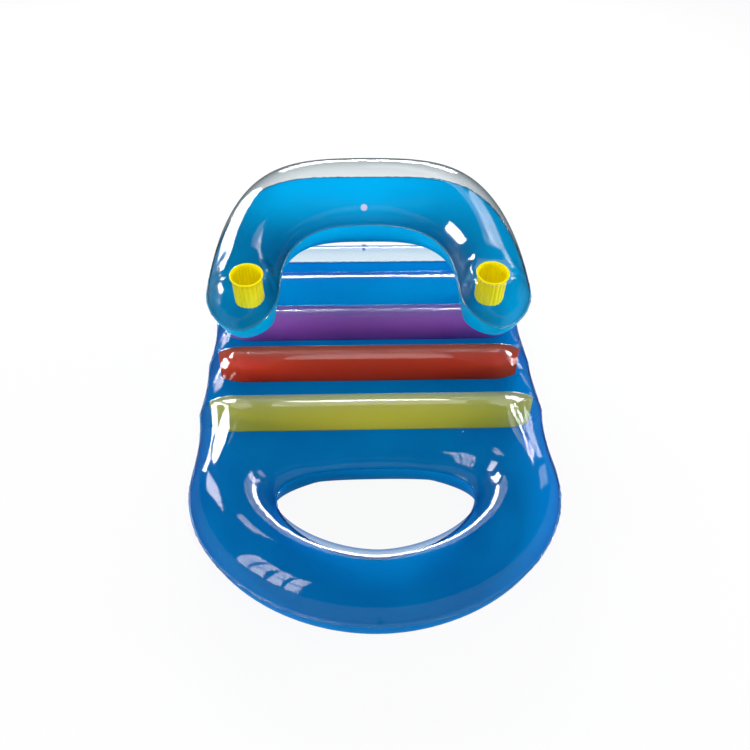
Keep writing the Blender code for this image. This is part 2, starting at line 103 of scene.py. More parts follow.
# Sizes of the looks alone
SLEEVE_WALL = 0.0006
SLEEVE_PLEATS = 11
SLEEVE_SLACK = 0.0044
RIM_TEETH = 44
PATCH_FLAT, PATCH_BLEND = 0.05, 0.15
WEB_CLEARANCE = 0.0006
WEB_BOW = 0.0025
WEB_RIPPLE = 0.002
WEB_RAISE = 0.0014
MOUTH_SINK = 0.0004

# Gathers: a pleat is their spacing along a weld, and a furrow is the depth of their long folds
BASE_PLEAT = 0.0175
BASE_GATHERS = {"tuck": 0.0030, "wave": 0.0011, "reach": 0.017, "pitch": 0.035, "drift": 0.09}
BASE_FURROW = 0.0010
HOLE_PLEAT = 0.031
HOLE_FURROW = 0.0006
CREASE_PLEAT = 0.026
CREASE_FURROW = 0.0004
FAN_LIFT = 0.0011
FAN_RAYS = 9
BACKREST_PLEAT = 0.0165
BACKREST_GATHERS = {"tuck": 0.0042, "wave": 0.0013, "reach": 0.016, "pitch": 0.033, "drift": 0.08}
BACKREST_FURROW = 0.0016
ARM_FOLD = 0.0045

# Finish, floor and lamps
STATIONS = 150
SHEET_CRISP = math.radians(42)
BASE_CRISP = math.radians(120)
TURNED_CRISP = math.radians(40)
FILM_GLOSS = 0.009
VINYL_IOR = 1.45
FLOOR_REACH = 30
FLOOR_DROP = 0.0005
LAMP_DISTANCE = 40.0

# Places worked out from them
FRONT_SEAM = -(ARM_TIP_SETBACK + BACKREST_LENGTH * math.cos(BACKREST_TILT)) / 2
SEAM_HEIGHT = TUBE_HEIGHT / 2 - FLOOR_FLAT
SEAM_OFFSET = WELD_GAP / 2 + SHEET_WALL
BASE_RISE = TUBE_HEIGHT / 2 - SEAM_OFFSET
CREASE = (BAFFLE_HEIGHT / 2 - SEAM_OFFSET) / BASE_RISE
CREASE_ANGLE = math.asin(CREASE)
BACKREST_PLACE = (Matrix.Translation((0, FRONT_SEAM + ARM_TIP_SETBACK, ARM_TIP_HEIGHT))
                  @ Matrix.Rotation(BACKREST_TILT, 4, "X"))


# Curves and grids

def smooth_step(value):
    """Cubic ramp that is 0 up to the value 0 and 1 from the value 1 on."""
    value = np.clip(value, 0, 1)
    return value * value * (3 - 2 * value)


def add_object(name, data):
    """Object with this data, in the scene."""
    thing = bpy.data.objects.new(name, data)
    bpy.context.scene.collection.objects.link(thing)
    return thing


def run_of(points):
    """Length along a polyline at each of its points."""
    return np.concatenate([[0], np.cumsum(np.linalg.norm(np.diff(points, axis=0), axis=1))])


def resample(points, count):
    """The polyline with count + 1 points, evenly spaced along it."""
    run = run_of(points)
    wanted = np.linspace(0, run[-1], count + 1)
    return np.column_stack([np.interp(wanted, run, column) for column in points.T])


def superellipse_quarter(width, length, roundness, count):
    """Quarter of |x/w|^n + |y/l|^m = 1 from (w, 0) to (0, l), evenly spaced."""
    angle = np.linspace(0, math.pi / 2, 900)
    x = width * np.abs(np.cos(angle)) ** (2 / roundness[0])
    y = length * np.abs(np.sin(angle)) ** (2 / roundness[1])
    x[-1] = 0
    return resample(np.column_stack([x, y]), count)


def weld_stations(half_width, ends=18, middle=72):
    """Places across a weld line, closer over its rounded ends, with the rise of the film there."""
    flat = np.linspace(-1, 1, middle + 1) * (half_width - TUBE_END)
    turn = np.linspace(math.pi / 2, 0, ends + 1)[1:]
    edge = half_width - TUBE_END + TUBE_END * np.cos(turn)
    rise = np.sin(turn)
    rise[-1] = 0
    return (np.concatenate([-edge[::-1], flat, edge]),
            np.concatenate([rise[::-1], np.ones(middle + 1), rise]))


def cross_tube(front, rear, rows=40):
    """Arc between two weld lines: z = rise * sin(turn), y by cos(turn), with rounded ends."""
    grid = []
    spread = np.cos(np.linspace(0, math.pi, rows + 1))
    for turn in math.pi / 2 - (math.pi / 2 - CREASE_ANGLE) * spread:
        share = (1 - math.cos(turn) / math.cos(CREASE_ANGLE)) / 2
        x, rise = weld_stations(SEAT_WIDTH / 2 - SIDE_SCALLOP * math.sin(math.pi * share))
        y = np.full_like(x, front + (rear - front) * share)
        grid.append(np.column_stack([x, y, BASE_RISE * rise * math.sin(turn)]))
    return np.array(grid)


def head_tube(rows=46, swell=0.0):
    """Rear tube: from the last weld line over to the rear seam, drawn in round the corners.

    Its arc is z = rise sin(turn) + swell sin(pi u), with u the turn's share from crease to seam.
    """
    grid = []
    for part in (1 - np.cos(np.linspace(0, math.pi, rows + 1))) / 2:
        turn = CREASE_ANGLE + (math.pi - CREASE_ANGLE) * part
        share = (math.cos(CREASE_ANGLE) - math.cos(turn)) / (math.cos(CREASE_ANGLE) + 1)
        drawn_in = HEAD_CORNER * (1 - math.sqrt(max(0, 1 - share * share)))
        x, rise = weld_stations(SEAT_WIDTH / 2 - drawn_in)
        y = np.full_like(x, BLUE_LINE + (HEAD_SEAM - BLUE_LINE) * share)
        bulge = math.sin(math.pi * (turn - CREASE_ANGLE) / (math.pi - CREASE_ANGLE))
        height = rise * (BASE_RISE * math.sin(turn) + swell * bulge) * (part < 1)
        grid.append(np.column_stack([x, y, height]))
    return np.array(grid)


def hole_radius(angle):
    """Distance from the leg hole's middle to its seam, by angle, flatter behind than in front."""
    behind = np.sin(angle) > 0
    length = np.where(behind, HOLE_REAR - HOLE_WIDEST, HOLE_WIDEST - HOLE_FRONT)
    power = np.where(behind, HOLE_ROUNDNESS[1], HOLE_ROUNDNESS[0])
    wide = np.abs(np.cos(angle)) / (LEG_HOLE_WIDTH / 2)
    deep = np.abs(np.sin(angle)) / length
    return (wide**power + deep**power) ** (-1 / power)


def ring_outline(side_count=30, front_count=70):
    """Outer seam of the ring, from the first weld line's right end round the front to its left."""
    share = np.linspace(1, 0, side_count + 1)
    flare = (SEAT_WIDTH - RING_WIDTH) / 2 * share**4
    x = RING_WIDTH / 2 + flare - RING_WAIST * np.sin(math.pi * share)
    side = np.column_stack([x, RING_WIDEST + (YELLOW_LINE - RING_WIDEST) * share])
    roundness = (RING_ROUNDNESS, RING_ROUNDNESS)
    front = superellipse_quarter(RING_WIDTH / 2, RING_WIDEST, roundness, front_count)
    front[:, 1] = RING_WIDEST - front[:, 1]
    right = np.vstack([side, front[1:]])
    return np.vstack([right, right[-2::-1] * (-1, 1)])


def ring_patch(rows=44, belly=2.0):
    """The ring: each ray from the hole's middle has an arch from outer edge to the hole's seam.

    With c the cosine at the outer edge, s the share of the ray and u = c - s (c + 1), the height is
    z = rise * (1 - |u|^n)^(1/n), where n is 2 outside the crest and the belly on the hole's side.
    """
    side = ring_outline()
    x, rise = weld_stations(SEAT_WIDTH / 2)
    outer = np.vstack([side, np.column_stack([x, np.full_like(x, YELLOW_LINE)])[1:]])
    lift = np.concatenate([np.zeros(len(side)), rise[1:]])
    angle = np.arctan2(outer[:, 1] - HOLE_WIDEST, outer[:, 0])
    radius = hole_radius(angle)
    inner = np.column_stack([radius * np.cos(angle), HOLE_WIDEST + radius * np.sin(angle)])
    first = np.sqrt(1 - (CREASE * lift) ** 2)
    grid = []
    for share in (1 - np.cos(np.linspace(0, math.pi, rows + 1))) / 2:
        plan = outer * (1 - share) + inner * share
        span = first - share * (first + 1)
        power = np.where(span < 0, belly, 2.0)
        height = BASE_RISE * np.maximum(0, 1 - np.abs(span) ** power) ** (1 / power)
        grid.append(np.column_stack([plan, height]))
    return np.array(grid)


def grid_faces(rows, columns, first=0, closed=False):
    """Quads of a grid of points, row after row."""
    index = first + np.arange(rows * columns).reshape(rows, columns)
    if closed:
        index = np.column_stack([index, index[:, :1]])
    return np.column_stack([index[:-1, :-1].ravel(), index[:-1, 1:].ravel(),
                            index[1:, 1:].ravel(), index[1:, :-1].ravel()])


def join_grids(grids, closed=False):
    """Points and faces of several grids, with points that coincide made one."""
    points = np.vstack([grid.reshape(-1, 3) for grid in grids])
    faces, first = [], 0
    for grid in grids:
        faces.append(grid_faces(*grid.shape[:2], first, closed))
        first += grid.shape[0] * grid.shape[1]
    _, index, place = np.unique(np.round(points, 6), axis=0, return_index=True, return_inverse=True)
    faces = place.ravel()[np.vstack(faces)]
    clean = [list(dict.fromkeys(face)) for face in faces.tolist()]
    return points[index], [face for face in clean if len(face) > 2]


def make_mesh(name, points, faces):
    mesh = bpy.data.meshes.new(name)
    mesh.from_pydata(points.tolist(), [], faces)
    mesh.validate()
    mesh.update()
    return mesh


def give_attribute(mesh, name, values):
    layer = mesh.attributes.new(name, "FLOAT", "POINT")
    layer.data.foreach_set("value", np.ascontiguousarray(values, np.float32))


def normals_of(mesh):
    normals = np.zeros(len(mesh.vertices) * 3)
    mesh.vertex_normals.foreach_get("vector", normals)
    return normals.reshape(-1, 3)


def set_vertices(mesh, points):
    mesh.vertices.foreach_set("co", np.ascontiguousarray(points, np.float32).ravel())
    mesh.update()


def nearest(points, line, step=0.003, batch=2000):
    """Plan distance from each point to a closed line, the run along it, and the way towards it."""
    line = np.vstack([line, line[:1]])
    fine = resample(line, int(run_of(line)[-1] / step))
    run = run_of(fine)
    distance, place = np.zeros(len(points)), np.zeros(len(points), int)
    for start in range(0, len(points), batch):
        some = slice(start, start + batch)
        square = ((points[some, None, :2] - fine[None]) ** 2).sum(-1)
        place[some] = square.argmin(1)
        distance[some] = np.sqrt(square.min(1))
    away = fine[place] - points[:, :2]
    return distance, run[place], away / np.maximum(np.linalg.norm(away, axis=1), 1e-6)[:, None]


def pucker(run, pitch, phase=0.0):
    """Gathers along a weld: 0 in each sharp valley and 1 on each round ridge, unevenly spaced."""
    slow, quick = np.sin(run / 0.049 + phase), np.sin(run / 0.0173 + 2.1 * phase)
    turn = run / pitch + 0.45 * slow + 0.3 * quick
    return np.abs(np.sin(math.pi * turn))


def uneven(run, phase):
    """Slow swell from 0 to 1 along a weld, so that the gathers come in groups."""
    return 0.5 + 0.28 * np.sin(run / 0.083 + phase) + 0.22 * np.sin(run / 0.031 + 1.7 * phase)


def edge_gathers(way, run, deep, strength, valley, tuck, wave, reach, pitch, drift):
    """Tucks and waves of a welded edge as moves of its points, fading with the distance deep."""
    fade = np.exp(-(deep / reach) ** 1.3)
    move = np.zeros((len(deep), 3))
    move[:, :2] -= way * (tuck * strength * valley**2 * fade)[:, None]
    turn = 2 * math.pi * run / pitch + 3 * np.sin(run / drift)
    move[:, 2] += wave * strength * np.sin(turn) * fade
    return move


# Pieces of the base

def base_outline():
    """Outer seam of the whole base in plan, from the ring's front round the right side."""
    ring = ring_outline()
    middle = len(ring) // 2
    right = ring[:middle + 1][::-1]
    tubes = [right]
    for front, rear in zip(CREASE_LINES, CREASE_LINES[1:]):
        tubes.append(cross_tube(front, rear)[:, -1, :2][1:])
    head = head_tube(60)
    tubes.append(head[1:, -1, :2])
    side = np.vstack(tubes)
    rear = head[-1, ::-1, :2]
    rear = rear[rear[:, 0] >= 0][1:]
    half = np.vstack([side, rear])
    return np.vstack([half, half[-2:0:-1] * (-1, 1)])


def hole_outline():
    angle = np.linspace(0, 2 * math.pi, 721)[:-1]
    radius = hole_radius(angle)
    return np.column_stack([radius * np.cos(angle), HOLE_WIDEST + radius * np.sin(angle)])


def add_margin(points, faces, width, steps=2):
    """Adds the flat welded margin: each open edge is carried outwards in the seam's plane."""
    edges = {}
    for face in faces:
        for a, b in zip(face, face[1:] + face[:1]):
            edges.setdefault((min(a, b), max(a, b)), []).append((a, b, face))
    border = [uses[0] for uses in edges.values() if len(uses) == 1]
    outward = {}
    for a, b, face in border:
        along = points[b] - points[a]
        side = np.array([along[1], -along[0], 0]) / max(np.hypot(along[0], along[1]), 1e-9)
        away = (points[a] + points[b]) / 2 - points[face].mean(0)
        side = side if side @ away > 0 else -side
        outward.setdefault(a, []).append(side)
        outward.setdefault(b, []).append(side)
    order = list(outward)
    spread = np.array([sum(ways) / (1 + ways[0] @ ways[-1]) for ways in outward.values()])
    rings = [dict(zip(order, order))]
    for step in range(1, steps + 1):
        rings.append({k: len(points) + n for n, k in enumerate(order)})
        points = np.vstack([points, points[order] + spread * width * step / steps])
    extra = [[low[b], low[a], high[a], high[b]]
             for a, b, _ in border for low, high in zip(rings, rings[1:])]
    return points, faces + extra


def base_wrinkles(points):
    """Gathers of the welded edge, of the pinched weld ends and of the creases.

    Returns moves of the points, lifts along their normals, and their places at the seam.
    """
    outer, run, way = nearest(points, base_outline())
    hole, hole_run, _ = nearest(points, hole_outline())
    rise = np.abs(points[:, 2])
    deep = np.hypot(outer, rise)
    front = 1 - smooth_step((points[:, 1] - 0.30) / 0.45)
    rear = smooth_step((points[:, 1] - BLUE_LINE - 0.06) / 0.08)
    strength = (0.35 + 0.65 * np.maximum(front, rear)) * (0.4 + 0.6 * uneven(run, 0.4))
    valley = 1 - pucker(run, BASE_PLEAT)
    move = edge_gathers(way, run, deep, strength, valley, **BASE_GATHERS)
    long_fade = np.exp(-deep / 0.045) * smooth_step(deep / 0.02)
    lift = -BASE_FURROW * strength * valley * long_fade
    hole_deep = np.hypot(hole, rise)
    hole_fade = np.exp(-(hole_deep / 0.022) ** 1.3)
    lift = lift - HOLE_FURROW * (1 - pucker(hole_run, HOLE_PLEAT, 1.3)) * hole_fade
    for number, line in enumerate(CREASE_LINES):
        near = np.abs(points[:, 1] - line)
        crease = np.exp(-(near / 0.016) ** 1.2) * smooth_step((0.47 - np.abs(points[:, 0])) / 0.03)
        across = points[:, 0] + 3 + number
        lift = lift - CREASE_FURROW * (1 - pucker(across, CREASE_PLEAT, number)) * crease
        for sign in (-1, 1):
            reach = np.column_stack([points[:, 0] - sign * SEAT_WIDTH / 2, points[:, 1] - line])
            gone = np.hypot(reach[:, 0], reach[:, 1])
            bearing = np.arctan2(reach[:, 1], -sign * reach[:, 0])
            fan = np.sin(FAN_RAYS * bearing + 0.8 * number + sign)
            lift = lift + FAN_LIFT * fan * np.exp(-gone / 0.045) * smooth_step(gone / 0.03)
    return move, lift, deep, run


def round_creases(points, reach=0.006, slope=0.7):
    """Fills the valley over each weld: z rises by slope (reach - d)^2 / (2 reach).

    Here d is the distance from the nearest weld line, in the seam's plane.
    """
    distance = np.abs(points[:, 1:2] - np.array(CREASE_LINES)).min(1)
    near = np.maximum(reach - distance, 0)
    whole = np.clip(points[:, 2] / (BASE_RISE * CREASE), 0, 1)
    points[:, 2] += slope * whole * near**2 / (2 * reach)
    return points


def base_sheet(name, facing):
    """Upper or lower sheet of the base, pinched along the weld lines and gathered at the seams."""
    grids = [ring_patch(belly=2.0 if facing > 0 else LEG_HOLE_BELLY)]
    grids += [head_tube(swell=HEAD_SWELL if facing > 0 else 0.0)]
    grids += [cross_tube(front, rear) for front, rear in zip(CREASE_LINES, CREASE_LINES[1:])]
    points, faces = join_grids(grids)
    if facing > 0:
        points = round_creases(points)
    points, faces = add_margin(points, faces, SEAM_FLANGE)
    if facing < 0:
        points[:, 2] *= -1
    mesh = make_mesh(name, points, faces)
    flip_to(mesh, facing)
    move, lift, deep, run = base_wrinkles(points)
    points = points + move + normals_of(mesh) * lift[:, None]
    points[:, 1] += FRONT_SEAM
    points[:, 2] += SEAM_HEIGHT + facing * SEAM_OFFSET
    points[:, 2] = np.maximum(points[:, 2], 0)
    set_vertices(mesh, points)
    give_attribute(mesh, "seam_distance", deep)
    give_attribute(mesh, "seam_run", run)
    return finish_sheet(name, mesh, crisp=BASE_CRISP)


def flip_to(mesh, facing):
    """Turns every face so that the sheet as a whole looks up (1) or down (-1)."""
    recalculate(mesh)
    normals, areas = np.zeros(len(mesh.polygons) * 3), np.zeros(len(mesh.polygons))
    mesh.polygons.foreach_get("normal", normals)
    mesh.polygons.foreach_get("area", areas)
    if (normals.reshape(-1, 3)[:, 2] * areas).sum() * facing < 0:
        mesh.flip_normals()
    mesh.update()


def recalculate(mesh):
    """Makes the faces of a mesh agree on which side is outside."""
    shape = bmesh.new()
    shape.from_mesh(mesh)
    bmesh.ops.recalc_face_normals(shape, faces=shape.faces)
    shape.to_mesh(mesh)
    shape.free()


def smooth(mesh, crisp):
    """Smooth shading, with sharp edges where faces meet at more than an angle."""
    mesh.shade_smooth()
    mesh.set_sharp_from_angle(angle=crisp)


def finish_sheet(name, mesh, offset=-1.0, crisp=SHEET_CRISP):
    """Object of the sheet's thickness; the offset is -1 for a wall inside the face, 0 for astride."""
    sheet = add_object(name, mesh)
    thickness = sheet.modifiers.new("wall", "SOLIDIFY")
    thickness.thickness = SHEET_WALL
    thickness.offset = offset
    smooth(mesh, crisp)
    return sheet


def applied(piece):
    """The piece with its modifiers made part of its mesh."""
    graph = bpy.context.evaluated_depsgraph_get()
    solid = bpy.data.meshes.new_from_object(piece.evaluated_get(graph))
    piece.modifiers.clear()
    piece.data = solid
    return piece


def baffle(name, line):
    """Upright web on a weld line: its edges follow the creases, and it bows and ripples a little.

    Its painted-highlight attribute is 1 along the upper weld and grows towards the ends, where the
    web is painted lighter.
    """
    x, rise = weld_stations(SEAT_WIDTH / 2)
    trim = 9
    x, rise = x[trim:-trim], rise[trim:-trim]
    half = SEAM_OFFSET + BASE_RISE * CREASE * rise - SHEET_WALL - WEB_CLEARANCE
    level = np.linspace(-1, 1, 25)[:, None]
    edge = 1 - level**2
    end = np.exp(-(x.max() - np.abs(x)) / 0.05)
    bow = WEB_BOW * np.sin(x / 0.11 + line * 9) + WEB_RIPPLE * end * np.sin(x / 0.009 + 2.5 * level)
    height = half * level + WEB_RAISE * rise * np.maximum(level, 0)
    grid = np.stack([x + 0 * level, FRONT_SEAM + line + edge * bow, SEAM_HEIGHT + height], -1)
    mesh = make_mesh(name, grid.reshape(-1, 3), grid_faces(*grid.shape[:2]).tolist())
    # Painted highlight: a mask that makes the web lighter at its upper weld and at its ends
    end_highlight = 0.45 * np.exp(-((x.max() - np.abs(x)) / 0.07) ** 2)
    painted_highlight = np.maximum((level * 0.5 + 0.5) ** 4, end_highlight + 0 * level)
    give_attribute(mesh, "painted_highlight", painted_highlight.ravel())
    return finish_sheet(name, mesh, offset=0.0)


# Pieces of the backrest

def backrest_outline(stations=STATIONS):
    """Outer and inner seams of the horseshoe and its crest, right arm to left, in its own plane."""
    def half_round(width, length, roundness):
        quarter = superellipse_quarter(width, length, roundness, 900)
        whole = np.vstack([quarter, quarter[-2::-1] * (-1, 1)])
        whole[:, 1] += ARM_TIP_LENGTH
        return resample(whole, stations)

    outer = half_round(BACKREST_WIDTH / 2, BACKREST_LENGTH - ARM_TIP_LENGTH, OUTER_ROUNDNESS)
    inner = half_round(ARM_GAP / 2, SEAT_OPENING - ARM_TIP_LENGTH, INNER_ROUNDNESS)
    bend = np.sin(np.linspace(0, math.pi, stations + 1))[:, None] ** 2
    share = CUP_SHARE + (0.5 - CUP_SHARE) * bend
    return outer, inner, outer * (1 - share) + inner * share, bend[:, 0]


def backrest_loop(tip=44):
    """Seam, crest and half height at each station once round the horseshoe, tips included."""
    outer, inner, crest, bend = backrest_outline()
    rise = (ARM_TUBE + (BACK_TUBE - ARM_TUBE) * bend) / 2 - SEAM_OFFSET
    turn = np.linspace(0, math.pi, tip + 1)[1:-1]
    middle = (outer[-1] + inner[-1]) / 2
    reach = (outer[-1] - inner[-1])[0] / 2
    side = np.sign(np.cos(turn)) * np.abs(np.cos(turn)) ** (2 / ARM_TIP_ROUNDNESS)
    nose = np.sin(turn) ** (2 / ARM_TIP_ROUNDNESS)
    left = np.column_stack([middle[0] + reach * side, middle[1] - ARM_TIP_LENGTH * nose])
    seam = np.vstack([outer, left, inner[::-1], left[::-1] * (-1, 1)])
    end = np.ones((len(turn), 1))
    line = np.vstack([crest, end * crest[-1], crest[::-1], end * crest[0]])
    height = np.concatenate([rise, end[:, 0] * rise[-1], rise[::-1], end[:, 0] * rise[0]])
    return seam, line, height


def backrest_points(rings=30):
    """Grid of the horseshoe: plan = crest + (seam - crest) cos(turn), height = rise sin(turn)."""
    seam, line, height = backrest_loop()
    grid = []
    for turn in np.linspace(0, math.pi / 2, rings + 1):
        plan = line + (seam - line) * (math.cos(turn) if turn < math.pi / 2 else 0)
        grid.append(np.column_stack([plan, height * (math.sin(turn) if turn else 0)]))
    return np.array(grid)


def settle(points, facing):
    """Draws the film down to the cup mouths, or the lower sheet down on to the weld patches."""
    if facing > 0:
        centre = np.array([crest_x, CUP_SETBACK])
        level = CUP_MOUTH - SEAM_OFFSET - MOUTH_SINK
        near, far = CUP_FLAT, CUP_BLEND
    else:
        centre = np.array([crest_x, patch_q])
        level = -(patch_level - ARM_TIP_HEIGHT - points[:, 1] * math.sin(BACKREST_TILT))
        level = level / math.cos(BACKREST_TILT) - SEAM_OFFSET
        near, far = PATCH_FLAT, PATCH_BLEND
    distance = np.hypot(np.abs(points[:, 0]) - centre[0], points[:, 1] - centre[1])
    share = 1 - smooth_step((distance - near) / (far - near))
    share = share * smooth_step((points[:, 2] - 0.035) / 0.04)
    points[:, 2] += (level - points[:, 2]) * share
    return points


def backrest_wrinkles(points, facing):
    """Gathers of the welded edge, and a fold across each arm at its cup; returns as the base's."""
    seam, _, _ = backrest_loop()
    outer, run, way = nearest(points, seam)
    deep = np.hypot(outer, np.abs(points[:, 2]))
    x, q = np.abs(points[:, 0]), points[:, 1]
    inside = smooth_step((0.30 - x) / 0.05) * smooth_step((0.52 - q) / 0.06)
    corner = smooth_step((q - 0.42) / 0.15)
    tip = 1 - smooth_step((q - 0.06) / 0.10)
    strength = (0.45 + 0.55 * np.maximum(corner, tip)) * (0.35 + 0.65 * uneven(run, 1.1))
    strength = strength * (1 - 0.75 * inside)
    valley = 1 - pucker(run, BACKREST_PLEAT, 0.6)
    move = edge_gathers(way, run, deep, strength, valley, **BACKREST_GATHERS)
    lift = -BACKREST_FURROW * strength * valley * np.exp(-deep / 0.05) * smooth_step(deep / 0.02)
    if facing > 0:
        beside = smooth_step((np.abs(x - crest_x) - 0.045) / 0.02)
        beside = beside * (1 - 0.6 * smooth_step((x - crest_x - 0.05) / 0.06))
        cross = np.exp(-((q - CUP_SETBACK) / 0.014) ** 2)
        lift = lift - ARM_FOLD * cross * beside * smooth_step(points[:, 2] / 0.05)
    return move, lift, deep, run


def backrest_sheet(name, facing):
    """Upper or lower sheet of the backrest, gathered at its seam and tilted into place."""
    points, faces = join_grids([backrest_points()], closed=True)
    points = settle(points, facing)
    points, faces = add_margin(points, faces, SEAM_FLANGE)
    if facing < 0:
        points[:, 2] *= -1
    mesh = make_mesh(name, points, faces)
    flip_to(mesh, facing)
    upright = np.column_stack([points[:, :2], np.abs(points[:, 2])])
    move, lift, deep, run = backrest_wrinkles(upright, facing)
    points = points + move + normals_of(mesh) * lift[:, None]
    points[:, 2] += facing * SEAM_OFFSET
    set_vertices(mesh, points)
    mesh.transform(BACKREST_PLACE)
    mesh.update()
    give_attribute(mesh, "seam_distance", deep)
    give_attribute(mesh, "seam_run", run)
    return finish_sheet(name, mesh)


def punch(sheet, radius, matrix, segments=96, depth=0.02):
    """Cuts a round hole through a finished sheet along the frame's Z axis."""
    mesh = bpy.data.meshes.new("punch")
    shape = bmesh.new()
    bmesh.ops.create_cone(shape, cap_ends=True, segments=segments, radius1=radius, radius2=radius,
                          depth=depth)
    shape.to_mesh(mesh)
    shape.free()
    cutter = add_object("punch", mesh)
    cutter.matrix_world = matrix
    hole = sheet.modifiers.new("hole", "BOOLEAN")
    hole.operation, hole.solver, hole.object = "DIFFERENCE", "EXACT", cutter
    bpy.context.view_layer.update()
    applied(sheet)
    bpy.data.objects.remove(cutter)
    return sheet


def turned_surface(name, radius, height, matrix, around=144):
    """Body of turning from radius and height arrays that may change with the angle."""
    angle = np.linspace(0, 2 * math.pi, around + 1)[:-1]
    radius, height = radius(angle), height(angle)
    grid = np.stack([radius * np.cos(angle), radius * np.sin(angle), height + 0 * radius], -1)
    points, faces = join_grids([grid], closed=True)
    mesh = make_mesh(name, points, faces)
    mesh.transform(matrix)
    recalculate(mesh)
    smooth(mesh, TURNED_CRISP)
    return add_object(name, mesh)


def cup(side, sign):
    """Pleated sleeve, floor disc and welded rim of one cup."""
    place = BACKREST_PLACE @ Matrix.Translation((sign * crest_x, CUP_SETBACK, CUP_MOUTH))
    levels = np.linspace(-0.0016, -CUP_DEPTH, 40)[:, None]
    depth = -levels / CUP_DEPTH

    def pleated(extra):
        def radius(angle):
            fold = np.abs(np.sin(SLEEVE_PLEATS * angle + 0.5 * np.sin(3 * angle))) ** 0.7
            slack = SLEEVE_SLACK * smooth_step(depth * 5) * (1 - 0.5 * depth)
            sway = 0.0008 * depth * np.sin(5 * angle + 4 * depth)
            return CUP_RADIUS + extra - slack * (1 - fold) - sway
        return radius

    outer, inner = pleated(SLEEVE_WALL), pleated(0.0)

    def both(angle):
        return np.vstack([outer(angle), inner(angle)[::-1], outer(angle)[:1]])

    def rise(angle):
        return np.vstack([levels, levels[::-1], levels[:1]]) + 0 * angle

    sleeve = turned_surface(f"cup_wall_{side}", both, rise, place)
    profile = np.array([[0.0, 0.0], [0.030, 0.0003], [0.040, 0.0], [0.040, -0.0009],
                        [0.0, -0.0009]])
    floor_level = 0.0022 - CUP_DEPTH
    floor = turned_surface(f"cup_bottom_{side}", lambda angle: profile[:, :1] + 0 * angle,
                           lambda angle: profile[:, 1:] + floor_level + 0 * angle, place)
    turn = np.linspace(0, 2 * math.pi, 25)[:, None]

    def rim_radius(angle):
        teeth = 1 + 0.03 * np.sin(RIM_TEETH * angle)
        return CUP_RADIUS + CUP_RIM / 2 + CUP_RIM / 2 * np.cos(turn) * teeth

    def rim_height(angle):
        return -0.0007 + 0.0009 * np.sin(turn) * (1 + 0.35 * np.sin(RIM_TEETH * angle))

    rim = turned_surface(f"cup_collar_{side}", rim_radius, rim_height, place, around=8 * RIM_TEETH)
    return sleeve, floor, rim


# Materials

def srgb(red, green, blue):
    """Linear colour of a colour written from 0 to 255."""
    value = np.array([red, green, blue]) / 255
    return tuple(np.where(value <= 0.04045, value / 12.92, ((value + 0.055) / 1.055) ** 2.4))


def new_material(name):
    material = bpy.data.materials.new(name)
    material.use_nodes = True
    material.node_tree.nodes.clear()
    return material, material.node_tree.nodes, material.node_tree.links


def add_node(nodes, kind, **values):
    """New node; each value sets the input of that name, written with _ for a space."""
    node = nodes.new(kind)
    for name, value in values.items():
        node.inputs[name.replace("_", " ")].default_value = value
    return node


def colour_mix(nodes, links, factor, first, second):
    """Mix of two colours, each a socket or a linear colour; returns its output."""
    node = nodes.new("ShaderNodeMix")
    node.data_type = "RGBA"
    links.new(factor, node.inputs["Factor"])
    for name, colour in (("A", first), ("B", second)):
        if isinstance(colour, tuple):
            node.inputs[name].default_value = (*colour, 1)
        else:
            links.new(colour, node.inputs[name])
    return node.outputs["Result"]


def shader_mix(nodes, links, factor, first, second):
    """Mix of two shaders by a share or a socket; returns its output."""
    node = nodes.new("ShaderNodeMixShader")
    if isinstance(factor, float):
        node.inputs[0].default_value = factor
    else:
        links.new(factor, node.inputs[0])
    links.new(first, node.inputs[1])
    links.new(second, node.inputs[2])
    return node.outputs[0]


def attribute(nodes, name):
    """Value of a point attribute."""
    node = nodes.new("ShaderNodeAttribute")
    node.attribute_name = name
    return node.outputs["Fac"]


def new_group(name, inputs, outputs):
    """Empty shader node group; each of its inputs is (name, socket type, value or None)."""
    group = bpy.data.node_groups.new(name, "ShaderNodeTree")
    for label, kind, value in inputs:
        socket = group.interface.new_socket(label, in_out="INPUT", socket_type=kind)
        if value is not None:
            socket.default_value = value
    for label, kind in outputs:
        group.interface.new_socket(label, in_out="OUTPUT", socket_type=kind)
    return group, group.nodes.new("NodeGroupInput"), group.nodes.new("NodeGroupOutput")


def math_node(nodes, links, operation, *values):
    """Math node whose inputs are numbers or sockets; returns its output."""
    node = nodes.new("ShaderNodeMath")
    node.operation = operation
    for socket, value in zip(node.inputs, values):
        if isinstance(value, (int, float)):
            socket.default_value = value
        else:
            links.new(value, socket)
    return node.outputs[0]


